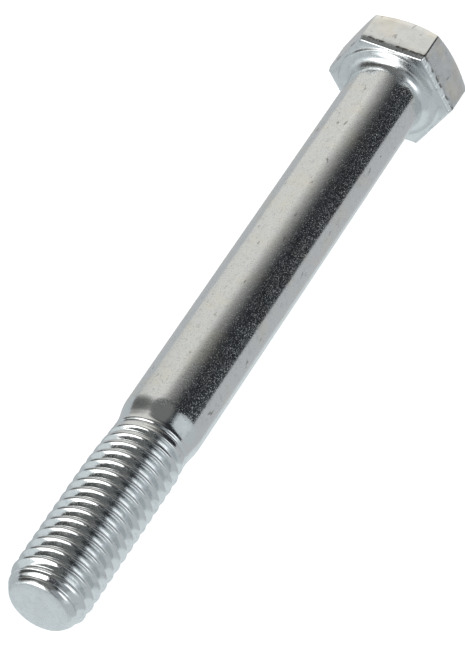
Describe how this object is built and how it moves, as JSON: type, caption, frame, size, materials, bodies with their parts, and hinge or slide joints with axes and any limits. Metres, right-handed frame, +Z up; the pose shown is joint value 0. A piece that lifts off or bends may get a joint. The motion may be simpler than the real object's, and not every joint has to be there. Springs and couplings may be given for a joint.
{
  "type": "hex bolt",
  "caption": "Hexagon head bolt with a washer face, long plain shank, and coarse rolled thread on the last part of its length.",
  "frame": {"origin": "centre of the bearing face under the head, on the bolt's axis", "axes": "+X along the bolt from the head to the point, +Z up and square to one flat of the head, +Y through a corner of the head"},
  "size_m": [0.1222, 0.0216, 0.0188],
  "materials": {
    "zinc_plated_steel": "bright zinc plate, satin with fine grain, slightly bluish"
  },
  "bodies": {
    "root": {"hex_bolt": "zinc_plated_steel"}
  },
  "joints": []
}
